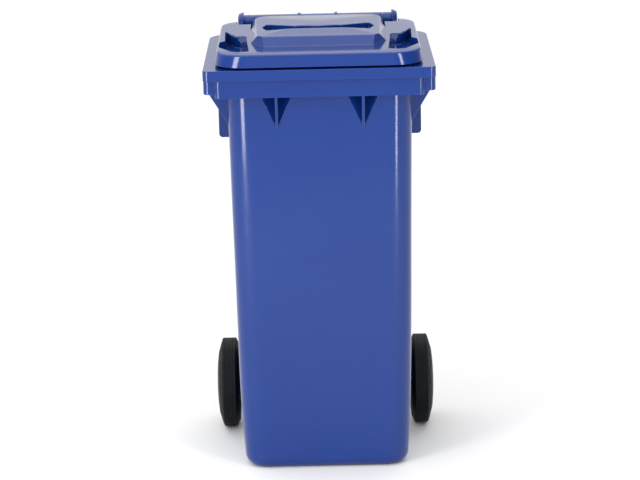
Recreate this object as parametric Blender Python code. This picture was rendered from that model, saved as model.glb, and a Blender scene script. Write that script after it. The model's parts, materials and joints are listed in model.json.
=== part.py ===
"""A 120 litre two-wheeled plastic bin: body with a lifting comb and a handle, hinged lid, axle and wheels.

Metres, +X right, +Y back, +Z up. The origin is on the floor, below the middle of the bin's box.
Distances called "behind" run backwards from the front face of the rim.
"""

import math

import bmesh
import bpy
from mathutils import Matrix, Vector

# Driving dimensions
FRONT = -0.276              # Y of the rim's front face
RIM_HALF_WIDTH = 0.240
RIM_DEPTH = 0.486
RIM_TOP = 0.880
RIM_FRONT_RADIUS = 0.013
RIM_REAR_RADIUS = 0.055
FLANGE = 0.004              # thickness of the rim's top and of its skirts
UPPER_BAND_LOW = 0.857
LOWER_BAND_LOW = 0.820
LOWER_BAND_HALF_WIDTH = 0.2156
LOWER_BAND_BEHIND = 0.010
SKIRT_BEHIND = 0.020
SKIRT_LOW = 0.827

WALL = 0.004
FLOOR = 0.005
BASE_ROUNDING = 0.022
BODY_RADIUS = 0.048
BODY_HALF_WIDTHS = ((0.0, 0.1745), (0.035, 0.1775), (0.136, 0.183), (0.333, 0.1865), (RIM_TOP, 0.1935))
BODY_FRONT_BEHIND = ((0.0, 0.064), (RIM_TOP, 0.038))
BODY_REAR_BEHIND = ((0.0, 0.405), (RIM_TOP, 0.466))

TUNNEL_BEHIND = 0.335       # the axle tunnel, across the bottom of the back
TUNNEL_TOP = 0.150
TUNNEL_SLOPE = 0.045
WEB_PLACES = ((0.055, 0.062), (0.169, 0.177))

HINGE_Y = 0.254
HINGE_Z = 0.899
HANDLE_RADIUS = 0.016
HANDLE_RING_RADIUS = 0.019
HANDLE_RING_X = 0.041
HANDLE_RING_WIDTH = 0.007
BRACKET_INSIDE = 0.138
BRACKET_OUTSIDE = 0.146

LID_HALF_WIDTH = 0.216
LID_FRONT_BEHIND = 0.003
LID_REAR_BEHIND = 0.474
LID_LOW = 0.884
LID_EDGE_TOP = 0.910
LID_WALL = 0.0035
LID_FRONT_RADIUS = 0.055
LID_REAR_RADIUS = 0.070
LID_CORNER_SLOPE = 0.026    # how much larger the front corners' radius is at the lid's upper edge
LID_SIDE_SLOPE = 0.001
PLATEAU_TOP = 0.932
CROWN_TOP = 0.938
CROWN_SCALE = 0.5
SHELF_BEHIND = 0.404        # the lowered shelf at the lid's rear
SHELF_HALF_WIDTH = 0.178
SHELF_TOP = 0.8895
POCKET_FLOOR = 0.8900
TRENCH_FLOOR = 0.8925
SLOT_FLOOR = 0.9225
EYE_INSIDE = 0.1465
EYE_OUTSIDE = 0.165
EYE_RADIUS = 0.016

PIN_RADIUS = 0.008
PIN_HEAD_RADIUS = 0.022
PIN_INNER_END = 0.120
PIN_HEAD_END = 0.1785

WHEEL_RADIUS = 0.100
AXLE_Y = FRONT + 0.392
AXLE_Z = WHEEL_RADIUS
AXLE_RADIUS = 0.010
AXLE_HALF_LENGTH = 0.232
GROOVE_RADIUS = 0.007
GROOVE_X = 0.225
GROOVE_HALF_WIDTH = 0.0038
WHEEL_INNER_X = 0.192
TYRE_BORE_RADIUS = 0.0755
HUB_TUBE_RADIUS = 0.017
CAP_RADIUS = 0.024
SPOKES = 6

LOCK_PIN_RADIUS = 0.003
LOCK_PIN_LOW = 0.0073       # above the axle's centre
LOCK_PIN_LENGTH = 0.0160
LOCK_BORE_TOP = 0.0345

GAP = 0.0003                # between pieces that touch
RUNNING_GAP = 0.0003
BUFFER_X = 0.130
BUFFER_BEHIND = 0.035
BUFFER_RADIUS = 0.006

CORNER_STEPS = 5
ROUND_STEPS = 32
SMALL_ROUND_STEPS = 16

SIDES = (("left", -1), ("right", 1))


# Materials

def material(name, colour, roughness, metallic=0.0):
    made = bpy.data.materials.new(name)
    made.use_nodes = True
    shader = made.node_tree.nodes["Principled BSDF"]
    shader.inputs["Base Color"].default_value = (*colour, 1.0)
    shader.inputs["Roughness"].default_value = roughness
    shader.inputs["Metallic"].default_value = metallic
    return made


# Outlines, as lists of points in a plane

def behind(distance):
    return FRONT + distance


def along(table, height):
    """The value at a height, from a table of (height, value) with straight runs between them."""
    for (low, first), (high, last) in zip(table, table[1:]):
        if height <= high:
            return first + (last - first) * (height - low) / (high - low)
    return table[-1][1]


def arc(centre, radius, start, end, steps):
    """Points on an arc, its ends included, with the angles in degrees."""
    angles = [math.radians(start + (end - start) * step / steps) for step in range(steps + 1)]
    return [(centre[0] + radius * math.cos(a), centre[1] + radius * math.sin(a)) for a in angles]


def rounded_rectangle(half_width, front, rear, front_radius, rear_radius, steps=CORNER_STEPS):
    """Counter-clockwise from the front right corner."""
    near, far = front + front_radius, rear - rear_radius
    inner_front, inner_rear = half_width - front_radius, half_width - rear_radius
    return (
        arc((inner_front, near), front_radius, -90, 0, steps)
        + arc((inner_rear, far), rear_radius, 0, 90, steps)
        + arc((-inner_rear, far), rear_radius, 90, 180, steps)
        + arc((-inner_front, near), front_radius, 180, 270, steps)
    )


def inset(outline, distance, longest=3.0):
    """A counter-clockwise outline moved inwards, or outwards for a negative distance."""
    moved = []
    for index, point in enumerate(outline):
        here = Vector(point)
        before = (here - Vector(outline[index - 1])).normalized()
        after = (Vector(outline[(index + 1) % len(outline)]) - here).normalized()
        bisector = Vector((-before.y - after.y, before.x + after.x)).normalized()
        stretch = 1.0 / max(bisector.dot(Vector((-before.y, before.x))), 1.0 / longest)
        moved.append(tuple(here + bisector * distance * stretch))
    return moved


def scaled(outline, factor):
    """An outline shrunk towards the middle of its box."""
    middle = [(min(axis) + max(axis)) / 2 for axis in zip(*outline)]
    return [tuple(m + (value - m) * factor for m, value in zip(middle, point)) for point in outline]


# Solids

def finished(name, mesh_edit, smooth_angle=30.0):
    """An object from a bmesh, with its normals outwards and its sharp edges kept sharp."""
    bmesh.ops.recalc_face_normals(mesh_edit, faces=mesh_edit.faces)
    mesh = bpy.data.meshes.new(name)
    mesh_edit.to_mesh(mesh)
    mesh_edit.free()
    mesh.shade_smooth()
    mesh.set_sharp_from_angle(angle=math.radians(smooth_angle))
    made = bpy.data.objects.new(name, mesh)
    bpy.context.scene.collection.objects.link(made)
    return made


def lofted(name, rings):
    """A closed solid through rings of 3-D points, all with the same number of points."""
    edit = bmesh.new()
    loops = [[edit.verts.new(point) for point in ring] for ring in rings]
    for low, high in zip(loops, loops[1:]):
        for index in range(len(low)):
            after = (index + 1) % len(low)
            edit.faces.new((low[index], low[after], high[after], high[index]))
    edit.faces.new(loops[0])
    edit.faces.new(loops[-1])
    return finished(name, edit)


def stacked(name, layers):
    """A solid from (height, outline) pairs."""
    return lofted(name, [[(x, y, height) for x, y in outline] for height, outline in layers])


def plate(name, profile, start_x, end_x):
    """A (Y, Z) profile with a thickness along X."""
    return lofted(name, [[(x, y, z) for y, z in profile] for x in (start_x, end_x)])


def panel(name, profile, start_y, end_y):
    """An (X, Z) profile with a thickness along Y."""
    return lofted(name, [[(x, y, z) for x, z in profile] for y in (start_y, end_y)])


def block(name, low, high):
    corners = [(low[0], low[1]), (high[0], low[1]), (high[0], high[1]), (low[0], high[1])]
    return stacked(name, [(low[2], corners), (high[2], corners)])


def turned(name, profile, y, z, steps=ROUND_STEPS):
    """A solid turned about a line along X, from (x, radius) pairs with no radius of 0."""
    edit = bmesh.new()
    loops = []
    for x, radius in profile:
        ring = arc((y, z), radius, 0, 360, steps)[:-1]
        loops.append([edit.verts.new((x, *point)) for point in ring])
    for first, second in zip(loops, loops[1:]):
        for index in range(steps):
            after = (index + 1) % steps
            edit.faces.new((first[index], first[after], second[after], second[index]))
    if profile[0] == profile[-1]:
        for first, last in zip(loops[0], loops[-1]):
            bmesh.ops.weld_verts(edit, targetmap={last: first})
    else:
        edit.faces.new(loops[0])
        edit.faces.new(loops[-1])
    return finished(name, edit)


def upright(name, centre, radius, low, high, steps=SMALL_ROUND_STEPS, chamfer=0.0):
    """A round post along Z, chamfered at both ends where a chamfer is given."""
    inner = radius - chamfer
    ends = [(low, inner), (low + chamfer, radius), (high - chamfer, radius), (high, inner)]
    if not chamfer:
        ends = [(low, radius), (high, radius)]
    return stacked(name, [(height, arc(centre, size, 0, 360, steps)[:-1]) for height, size in ends])


def hull(name, points):
    edit = bmesh.new()
    for point in points:
        edit.verts.new(point)
    bmesh.ops.convex_hull(edit, input=edit.verts)
    return finished(name, edit)


def combine(target, operation, *others):
    """A Boolean for each other object, which becomes a helper."""
    for other in others:
        modifier = target.modifiers.new(other.name, "BOOLEAN")
        modifier.operation = operation
        modifier.solver = "EXACT"
        modifier.object = other
        other.hide_render = True
        other.display_type = "WIRE"
    return target


def join(target, *others):
    return combine(target, "UNION", *others)


def cut(target, *others):
    return combine(target, "DIFFERENCE", *others)


def hang_on(pivot, *pieces):
    """Moves each piece, with the helpers of its Booleans, under an empty without moving its shape."""
    for piece in pieces:
        helpers = [modifier.object for modifier in piece.modifiers if modifier.type == "BOOLEAN"]
        piece.data.transform(Matrix.Translation(-pivot.location))
        piece.parent = pivot
        hang_on(pivot, *helpers)


def pivot_at(name, location):
    pivot = bpy.data.objects.new(name, None)
    pivot.location = location
    pivot.empty_display_size = 0.05
    bpy.context.scene.collection.objects.link(pivot)
    return pivot


# The body

def body_outline(height, distance_in=0.0):
    outline = rounded_rectangle(
        along(BODY_HALF_WIDTHS, height),
        behind(along(BODY_FRONT_BEHIND, height)),
        behind(along(BODY_REAR_BEHIND, height)),
        BODY_RADIUS,
        BODY_RADIUS,
    )
    return inset(outline, distance_in)


def body_layers(distance_in, floor, top):
    """The tub's layers: a rounded edge round the base, then the drafted walls."""
    rounding = BASE_ROUNDING - distance_in
    layers = []
    for angle in (0.0, 22.5, 45.0, 67.5, 90.0):
        turn = math.radians(angle)
        height = floor + rounding * (1 - math.cos(turn))
        layers.append((height, body_outline(height, distance_in + rounding * (1 - math.sin(turn)))))
    heights = [height for height, _ in BODY_HALF_WIDTHS[1:-1]] + [top]
    return layers + [(height, body_outline(height, distance_in)) for height in heights]


def make_rim():
    """The rim: a flat top with a stepped skirt at the front and a deeper skirt round the sides."""
    whole = rounded_rectangle(
        RIM_HALF_WIDTH, behind(0), behind(RIM_DEPTH), RIM_FRONT_RADIUS, RIM_REAR_RADIUS
    )
    skirt = rounded_rectangle(
        RIM_HALF_WIDTH, behind(SKIRT_BEHIND), behind(RIM_DEPTH), RIM_FRONT_RADIUS, RIM_REAR_RADIUS
    )
    band = rounded_rectangle(
        LOWER_BAND_HALF_WIDTH, behind(LOWER_BAND_BEHIND), behind(0.060), 0.010, 0.010
    )
    edge = 0.0015
    rim = stacked("rim", [(UPPER_BAND_LOW, whole), (RIM_TOP - edge, whole), (RIM_TOP, inset(whole, edge))])
    join(
        rim,
        stacked("rim_skirt", [(SKIRT_LOW, skirt), (UPPER_BAND_LOW + 0.010, skirt)]),
        stacked("rim_lower_band", [(LOWER_BAND_LOW, band), (UPPER_BAND_LOW + 0.012, band)]),
    )
    roof = RIM_TOP - FLANGE
    ledge = UPPER_BAND_LOW + FLANGE
    return cut(
        rim,
        stacked("comb_hollow", [(ledge, inset(whole, FLANGE)), (roof, inset(whole, FLANGE))]),
        stacked("skirt_hollow", [(0.800, inset(skirt, FLANGE)), (ledge + 0.003, inset(skirt, FLANGE))]),
        stacked("band_hollow", [(0.805, inset(band, FLANGE)), (ledge + 0.005, inset(band, FLANGE))]),
    )


FRONT_RIB_X = 0.090
FRONT_RIB_LOW = 0.746
RECESS_TOP = 0.823
RECESS_DEEPEST = 0.058      # behind
WALL_FRONT = 0.0395         # behind, at the recess's top


def front_recess(name, x, grow):
    """The inverted pyramid sunk into the front wall behind each front rib, deepest along the rib."""
    half, back, top = 0.035 + 1.5 * grow, RECESS_DEEPEST + 1.15 * grow, RECESS_TOP + 0.3 * grow
    tip = FRONT_RIB_LOW + 0.004 - 2.0 * grow
    points = []
    for side in (-1, 1):
        points += [(x + side * half, behind(0.030), top), (x + side * half, behind(WALL_FRONT + grow), top)]
        points += [(x + side * 0.004, behind(back), top)]
    points += [(x, behind(0.030), tip), (x, behind(0.0415 + grow), tip)]
    return hull(name, points)


def front_rib(name, x):
    half = 0.003
    profile = [
        (behind(0.012), LOWER_BAND_LOW + 0.002),
        (behind(0.0415), FRONT_RIB_LOW),
        (behind(0.0435), FRONT_RIB_LOW + 0.006),
        (behind(RECESS_DEEPEST + 0.002), RECESS_TOP - 0.001),
        (behind(0.0415), RECESS_TOP + 0.004),
        (behind(0.0415), RIM_TOP - 0.002),
        (behind(0.012), RIM_TOP - 0.002),
    ]
    return plate(name, profile, x - half, x + half)


def side_gusset(name, side, place, low, thickness=0.005):
    """A web under the side rim, whose lower edge slants in and then runs out down the wall in a curve."""
    reach, radius, sunk = RIM_HALF_WIDTH - 0.002, 0.050, 0.002
    wall = along(BODY_HALF_WIDTHS, low) - 0.0005
    turn = math.atan2(reach - wall, SKIRT_LOW - low)
    end = low - radius * math.tan(turn / 2)
    top = SKIRT_LOW + 0.006
    profile = [(along(BODY_HALF_WIDTHS, top) - sunk, top), (reach, top), (reach, SKIRT_LOW)]
    profile += arc((wall + radius, end), radius, 180 - math.degrees(turn), 180, 3)
    profile += [(wall - sunk, end)]
    profile = [(side * x, z) for x, z in profile]
    return panel(name, profile, behind(place), behind(place) + thickness)


def side_plate(name, side):
    """The long upright plate on each side wall, with a rounded lower corner."""
    outer, low, radius = 0.220, 0.683, 0.008
    corner = arc((outer - radius, low + radius), radius, -90, 0, 4)
    profile = [(0.1885, low)] + corner + [(outer, SKIRT_LOW + 0.006), (0.1905, SKIRT_LOW + 0.006)]
    profile = [(side * x, z) for x, z in profile]
    return panel(name, profile, behind(0.298), behind(0.303))


def axle_tunnel(name, grow, half_width):
    """The hollow across the lower back that the axle runs through, with a slanting roof."""
    far = 0.520
    profile = [
        (behind(TUNNEL_BEHIND - grow), -0.010),
        (behind(far), -0.010),
        (behind(far), TUNNEL_TOP + grow),
        (behind(TUNNEL_BEHIND + TUNNEL_SLOPE - grow), TUNNEL_TOP + grow),
        (behind(TUNNEL_BEHIND - grow), TUNNEL_TOP - TUNNEL_SLOPE + grow),
    ]
    return plate(name, profile, -half_width, half_width)


def axle_web(name, x0, x1):
    """One of the webs in the tunnel that carry the axle, rounded below it."""
    rear = behind(along(BODY_REAR_BEHIND, TUNNEL_TOP)) - 0.004
    profile = [(behind(TUNNEL_BEHIND - 0.002), TUNNEL_TOP - TUNNEL_SLOPE + 0.004)]
    profile += [(behind(TUNNEL_BEHIND - 0.002), AXLE_Z - 0.030)]
    profile += arc((AXLE_Y, AXLE_Z), 0.020, -110, 0, 6)
    profile += [(rear, TUNNEL_TOP + 0.002), (behind(TUNNEL_BEHIND + TUNNEL_SLOPE), TUNNEL_TOP + 0.002)]
    return plate(name, profile, x0, x1)


def handle_bracket(name, side):
    """The arm from the rim to the handle, which also takes the hinge pin."""
    profile = [(behind(0.474), 0.842), (behind(0.496), 0.850)]
    profile += arc((HINGE_Y, HINGE_Z), HANDLE_RADIUS, -60, 130, 10)
    profile += [(behind(0.500), RIM_TOP - 0.002), (behind(0.474), RIM_TOP - 0.002)]
    return plate(name, profile, side * BRACKET_INSIDE, side * BRACKET_OUTSIDE)


def rear_rib(name, side):
    """The rib that carries the bracket's load down the rear wall."""
    rear = along(BODY_REAR_BEHIND, 0.780)
    profile = [
        (behind(rear - 0.003), 0.760),
        (behind(rear + 0.001), 0.755),
        (behind(0.480), SKIRT_LOW - 0.010),
        (behind(0.480), RIM_TOP - 0.002),
        (behind(rear - 0.001), RIM_TOP - 0.002),
    ]
    return plate(name, profile, side * BRACKET_INSIDE, side * BRACKET_OUTSIDE)


def handle_bar():
    """The handle's round bar, with two narrow rings."""
    profile = [(-BRACKET_INSIDE - 0.002, HANDLE_RADIUS)]
    for centre in (-HANDLE_RING_X, HANDLE_RING_X):
        low, high = centre - HANDLE_RING_WIDTH / 2, centre + HANDLE_RING_WIDTH / 2
        profile += [(low, HANDLE_RADIUS), (low + 0.001, HANDLE_RING_RADIUS)]
        profile += [(high - 0.001, HANDLE_RING_RADIUS), (high, HANDLE_RADIUS)]
    profile += [(BRACKET_INSIDE + 0.002, HANDLE_RADIUS)]
    return turned("handle_bar", profile, HINGE_Y, HINGE_Z, 24)


def make_body(plastic):
    body = make_rim()
    body.name = "body"
    join(body, stacked("tub", body_layers(0.0, 0.0, RIM_TOP - 0.002)))
    cavity = stacked("cavity", body_layers(WALL, FLOOR, RIM_TOP + 0.020))
    cut(cavity, axle_tunnel("tunnel_skin", WALL, 0.200))
    for side_name, side in SIDES:
        cut(cavity, front_recess("recess_skin_" + side_name, side * FRONT_RIB_X, WALL))
    cut(body, cavity, axle_tunnel("axle_tunnel", 0.0, 0.201))
    for side_name, side in SIDES:
        cut(body, front_recess("recess_" + side_name, side * FRONT_RIB_X, 0.0))
    for side_name, side in SIDES:
        join(
            body,
            front_rib("front_rib_" + side_name, side * FRONT_RIB_X),
            side_gusset("corner_gusset_" + side_name, side, 0.090, 0.750),
            side_gusset("middle_gusset_" + side_name, side, 0.190, 0.765),
            side_gusset("rear_gusset_" + side_name, side, 0.395, 0.765),
            side_plate("side_plate_" + side_name, side),
            rear_rib("rear_rib_" + side_name, side),
            handle_bracket("handle_bracket_" + side_name, side),
        )
        for place, (inner, outer) in zip(("inner", "outer"), WEB_PLACES):
            join(body, axle_web(place + "_axle_web_" + side_name, side * inner, side * outer))
    join(body, handle_bar())
    bore = AXLE_RADIUS + GAP
    cut(body, turned("axle_bore", [(-0.19, bore), (0.19, bore)], AXLE_Y, AXLE_Z, 24))
    pin_bore = PIN_RADIUS + GAP
    for side_name, side in SIDES:
        ends = [(side * (PIN_INNER_END - GAP), pin_bore), (side * 0.150, pin_bore)]
        cut(body, turned("pin_bore_" + side_name, ends, HINGE_Y, HINGE_Z, 24))
    body.data.materials.append(plastic)
    return body


# The lid

def lid_outline(height, distance_in=0.0):
    """The lid's outline, whose front corners lean inwards as they rise."""
    rise = min(max((height - LID_LOW) / (LID_EDGE_TOP - LID_LOW), 0.0), 1.0)
    outline = rounded_rectangle(
        LID_HALF_WIDTH - LID_SIDE_SLOPE * rise,
        behind(LID_FRONT_BEHIND),
        behind(LID_REAR_BEHIND),
        LID_FRONT_RADIUS + LID_CORNER_SLOPE * rise,
        LID_REAR_RADIUS,
    )
    return inset(outline, distance_in)


def mirrored(right):
    """A closed outline from its right half, which runs from front to rear."""
    return right + [(-x, y) for x, y in reversed(right)]


def plateau_foot(distance_in=0.0):
    """The raised middle's lower edge, with its front corners cut off and its rear corners round."""
    rear, radius = behind(0.402), 0.040
    right = [(0.114, behind(0.092)), (0.143, behind(0.142)), (0.147, rear - radius)]
    right += arc((0.147 - radius, rear - radius), radius, 0, 90, CORNER_STEPS)[1:]
    return inset(mirrored(right), distance_in)


def plateau_edge(distance_in=0.0):
    """The raised middle's upper edge, in from the foot by more at the sides than at the front and rear."""
    rear, radius = behind(0.396), 0.032
    right = [(0.118, behind(0.113)), (0.1275, behind(0.124)), (0.135, rear - radius)]
    right += arc((0.135 - radius, rear - radius), radius, 0, 90, CORNER_STEPS)[1:]
    return inset(mirrored(right), distance_in)


def lid_dome(name, thickness):
    """The lid's outer form, or its inner form when a thickness is taken off."""
    edge = LID_EDGE_TOP - thickness
    low = LID_LOW - (0.010 if thickness else 0.0)
    layers = [(low, 0.0), (edge - 0.006, 0.001), (edge - 0.002, 0.003), (edge, 0.008), (edge + 0.002, 0.030)]
    base = stacked(name, [(height, lid_outline(height, thickness + distance)) for height, distance in layers])
    top = PLATEAU_TOP - thickness
    shoulder = plateau_edge(thickness + 0.0025)
    plateau = stacked(
        name + "_plateau",
        [
            (edge - 0.008, plateau_foot(thickness)),
            (edge + 0.002, plateau_foot(thickness)),
            (top - 0.002, plateau_edge(thickness)),
            (top, shoulder),
            (CROWN_TOP - thickness, scaled(shoulder, CROWN_SCALE)),
        ],
    )
    return join(base, plateau)


def corner_pocket(name, side, grow, low):
    """The star-shaped hollow near each front corner, with spikes to the rear and to the lid's side."""
    points = [
        (0.201, behind(0.324)),
        (0.186, behind(0.264)),
        *arc((0.158, behind(0.2505)), 0.022, 0, -90, 4),
        (0.154, behind(0.228)),
        (0.144, behind(0.040)),
        (0.166, behind(0.037)),
        (0.181, behind(0.046)),
        (0.192, behind(0.074)),
        (0.198, behind(0.086)),
        (0.2095, behind(0.116)),
        (0.2085, behind(0.176)),
        (0.197, behind(0.188)),
    ]
    outline = inset(points, -grow)
    return stacked(name, [(height, [(side * x, y) for x, y in outline]) for height in (low, 0.950)])


def slot_recess(name, grow, low):
    """The long recess across the lid's top: tall at its ends and narrow in the middle."""
    right = [(0.0, behind(0.189)), (0.055, behind(0.188)), (0.108, behind(0.185))]
    right += [(0.1195, behind(0.231)), (0.110, behind(0.268)), (0.055, behind(0.222)), (0.0, behind(0.210))]
    left = [(-x, y) for x, y in reversed(right[1:-1])]
    outline = inset(right + left, -grow)
    return stacked(name, [(low, outline), (0.960, outline)])


def rear_shelf(name, grow, low):
    start, half = behind(SHELF_BEHIND - grow), SHELF_HALF_WIDTH + grow
    return block(name, (-half, start, low), (half, behind(0.500), 0.960))


def trench(name, side, grow, low):
    """The narrow channel from the side of the plateau to the rear shelf."""
    inner, outer = 0.1380 - grow, 0.1465 + grow
    low_x, high_x = sorted((side * inner, side * outer))
    return block(name, (low_x, behind(0.321 - grow), low), (high_x, behind(0.410), 0.960))


def lid_arm(name, side):
    """The arm from the rear shelf to the hinge pin, with its eye."""
    profile = [(behind(0.425), LID_LOW + 0.0001), (behind(0.480), LID_LOW + 0.0001)]
    profile += arc((HINGE_Y, HINGE_Z), EYE_RADIUS, -100, 215, 16)
    profile += [(behind(0.425), SHELF_TOP)]
    return plate(name, profile, side * EYE_INSIDE, side * EYE_OUTSIDE)


def lid_post(name, side):
    """The post under the lid that lands on a buffer."""
    centre = (side * BUFFER_X, behind(BUFFER_BEHIND))
    return upright(name, centre, 0.0055, LID_LOW + 0.0001, LID_EDGE_TOP - 0.002)


def make_lid(plastic):
    lid = lid_dome("lid", 0.0)
    hollow = lid_dome("lid_hollow", LID_WALL)
    slot_skin = slot_recess("slot_skin", LID_WALL, SLOT_FLOOR - LID_WALL)
    cut(hollow, rear_shelf("shelf_skin", LID_WALL, SHELF_TOP - LID_WALL), slot_skin)
    for side_name, side in SIDES:
        cut(
            hollow,
            corner_pocket("pocket_skin_" + side_name, side, LID_WALL, POCKET_FLOOR - LID_WALL),
            trench("trench_skin_" + side_name, side, LID_WALL, TRENCH_FLOOR - LID_WALL),
        )
    cut(lid, hollow, slot_recess("slot", 0.0, SLOT_FLOOR), rear_shelf("shelf", 0.0, SHELF_TOP))
    for side_name, side in SIDES:
        cut(
            lid,
            corner_pocket("pocket_" + side_name, side, 0.0, POCKET_FLOOR),
            trench("trench_" + side_name, side, 0.0, TRENCH_FLOOR),
        )
    for side_name, side in SIDES:
        join(lid, lid_arm("lid_arm_" + side_name, side), lid_post("lid_post_" + side_name, side))
    bore = PIN_RADIUS + RUNNING_GAP
    cut(lid, turned("lid_bore", [(-0.180, bore), (0.180, bore)], HINGE_Y, HINGE_Z, 24))
    lid.data.materials.append(plastic)
    hang_on(pivot_at("lid_hinge", Vector((0, HINGE_Y, HINGE_Z))), lid)
    return lid


def make_hinge_pin(name, side, plastic):
    """A pin with a wide chamfered head, pushed in from the outside."""
    head = EYE_OUTSIDE + 0.001
    profile = [
        (PIN_INNER_END, PIN_RADIUS - 0.0015),
        (PIN_INNER_END + 0.0015, PIN_RADIUS),
        (head, PIN_RADIUS),
        (head, PIN_HEAD_RADIUS - 0.0005),
        (head + 0.0025, PIN_HEAD_RADIUS),
        (PIN_HEAD_END - 0.002, PIN_HEAD_RADIUS - 0.004),
        (PIN_HEAD_END, PIN_HEAD_RADIUS - 0.009),
    ]
    pin = turned(name, [(side * x, radius) for x, radius in profile], HINGE_Y, HINGE_Z, 24)
    pin.data.materials.append(plastic)
    return pin


def make_buffer(name, side, rubber):
    centre = (side * BUFFER_X, behind(BUFFER_BEHIND))
    buffer = upright(name, centre, BUFFER_RADIUS, RIM_TOP + GAP, LID_LOW - GAP, chamfer=0.001)
    buffer.data.materials.append(rubber)
    return buffer


# The running gear

def make_axle(steel):
    inner, outer = GROOVE_X - GROOVE_HALF_WIDTH, GROOVE_X + GROOVE_HALF_WIDTH
    half = [
        (inner, AXLE_RADIUS),
        (inner, GROOVE_RADIUS),
        (outer, GROOVE_RADIUS),
        (outer, AXLE_RADIUS),
        (AXLE_HALF_LENGTH - 0.0015, AXLE_RADIUS),
        (AXLE_HALF_LENGTH, AXLE_RADIUS - 0.0015),
    ]
    profile = [(-x, radius) for x, radius in reversed(half)] + half
    axle = turned("axle", profile, AXLE_Y, AXLE_Z, 24)
    axle.data.materials.append(steel)
    return axle


def make_ring(name, side, inner_x, outer_x, bore, radius, chamfer, finish):
    """A plain turned ring on the axle's line."""
    profile = [
        (inner_x, bore),
        (inner_x, radius - chamfer),
        (inner_x + chamfer, radius),
        (outer_x - chamfer, radius),
        (outer_x, radius - chamfer),
        (outer_x, bore),
        (inner_x, bore),
    ]
    ring = turned(name, [(side * x, r) for x, r in profile], AXLE_Y, AXLE_Z, 24)
    ring.data.materials.append(finish)
    return ring


def wheel_profile(side, pairs):
    """Turned pairs measured outwards from the wheel's inner face."""
    return [(side * (WHEEL_INNER_X + out), radius) for out, radius in pairs]


def make_tyre(name, side, rubber):
    pairs = [
        (0.0030, TYRE_BORE_RADIUS),
        (0.0010, 0.079),
        (0.0010, 0.084),
        (0.0075, WHEEL_RADIUS - 0.0015),
        (0.0095, WHEEL_RADIUS),
        (0.0365, WHEEL_RADIUS),
        (0.0385, WHEEL_RADIUS - 0.0015),
        (0.0430, 0.084),
        (0.0454, TYRE_BORE_RADIUS),
        (0.0030, TYRE_BORE_RADIUS),
    ]
    tyre = turned(name, wheel_profile(side, pairs), AXLE_Y, AXLE_Z, 48)
    tyre.data.materials.append(rubber)
    return tyre


def make_hub(name, side, plastic):
    """The wheel's plastic centre: a rim with a domed face, a tube, spokes and a boss for the lock pin."""
    rim = TYRE_BORE_RADIUS - GAP
    thickness = 0.0045
    face = [
        (0.0050, rim),
        (0.0456, rim),
        (0.0480, 0.067),
        (0.0500, 0.048),
        (0.0508, 0.036),
        (0.0510, CAP_RADIUS - 0.002),
        (0.0465, CAP_RADIUS - 0.002),
        (0.0463, 0.036),
        (0.0455, 0.048),
        (0.0436, 0.065),
        (0.0420, rim - thickness),
        (0.0050, rim - thickness),
        (0.0050, rim),
    ]
    hub = turned(name, wheel_profile(side, face), AXLE_Y, AXLE_Z, 48)
    tube_profile = wheel_profile(side, [(0.0, HUB_TUBE_RADIUS), (0.0405, HUB_TUBE_RADIUS)])
    tube = turned(name + "_tube", tube_profile, AXLE_Y, AXLE_Z, 24)
    spokes = []
    for index in range(SPOKES):
        spoke = block(
            f"{name}_spoke_{index}", (-0.018, 0.010, -0.002), (0.0175, rim - 0.002, 0.002)
        )
        turn = Matrix.Rotation(math.radians(30 + 360 * index / SPOKES), 4, "X")
        place = Matrix.Translation((side * (WHEEL_INNER_X + 0.0275), AXLE_Y, AXLE_Z))
        mirror = Matrix.Diagonal((side, 1, 1, 1))
        spoke.data.transform(place @ mirror @ turn)
        if side < 0:
            spoke.data.flip_normals()
        spokes.append(spoke)
    lock = (side * GROOVE_X, AXLE_Y)
    boss = upright(name + "_boss", lock, 0.0062, AXLE_Z + 0.013, AXLE_Z + LOCK_BORE_TOP + 0.003)
    join(hub, tube, *spokes, boss)
    bore = AXLE_RADIUS + RUNNING_GAP
    axle_hole = turned(
        name + "_bore", wheel_profile(side, [(-0.005, bore), (0.0450, bore)]), AXLE_Y, AXLE_Z, 24
    )
    lock_hole = upright(
        name + "_lock_bore", lock, LOCK_PIN_RADIUS + GAP, AXLE_Z + 0.005, AXLE_Z + LOCK_BORE_TOP
    )
    seat = CAP_RADIUS + GAP
    cap_seat = turned(
        name + "_cap_seat", wheel_profile(side, [(0.0442, seat), (0.0600, seat)]), AXLE_Y, AXLE_Z, 24
    )
    cut(hub, axle_hole, lock_hole, cap_seat)
    hub.data.materials.append(plastic)
    return hub


def make_cap(name, side, plastic):
    """The cap that closes the middle of the wheel."""
    pairs = [
        (0.0445, CAP_RADIUS - 0.0035),
        (0.0445, CAP_RADIUS - 0.0005),
        (0.0460, CAP_RADIUS),
        (0.0500, CAP_RADIUS),
        (0.0510, CAP_RADIUS - 0.0015),
        (0.0510, 0.004),
    ]
    cap = turned(name, wheel_profile(side, pairs), AXLE_Y, AXLE_Z, 24)
    cap.data.materials.append(plastic)
    return cap


def make_lock_pin(name, side, steel):
    low = AXLE_Z + LOCK_PIN_LOW
    pin = upright(
        name, (side * GROOVE_X, AXLE_Y), LOCK_PIN_RADIUS, low, low + LOCK_PIN_LENGTH, steps=16, chamfer=0.0006
    )
    pin.data.materials.append(steel)
    return pin


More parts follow.
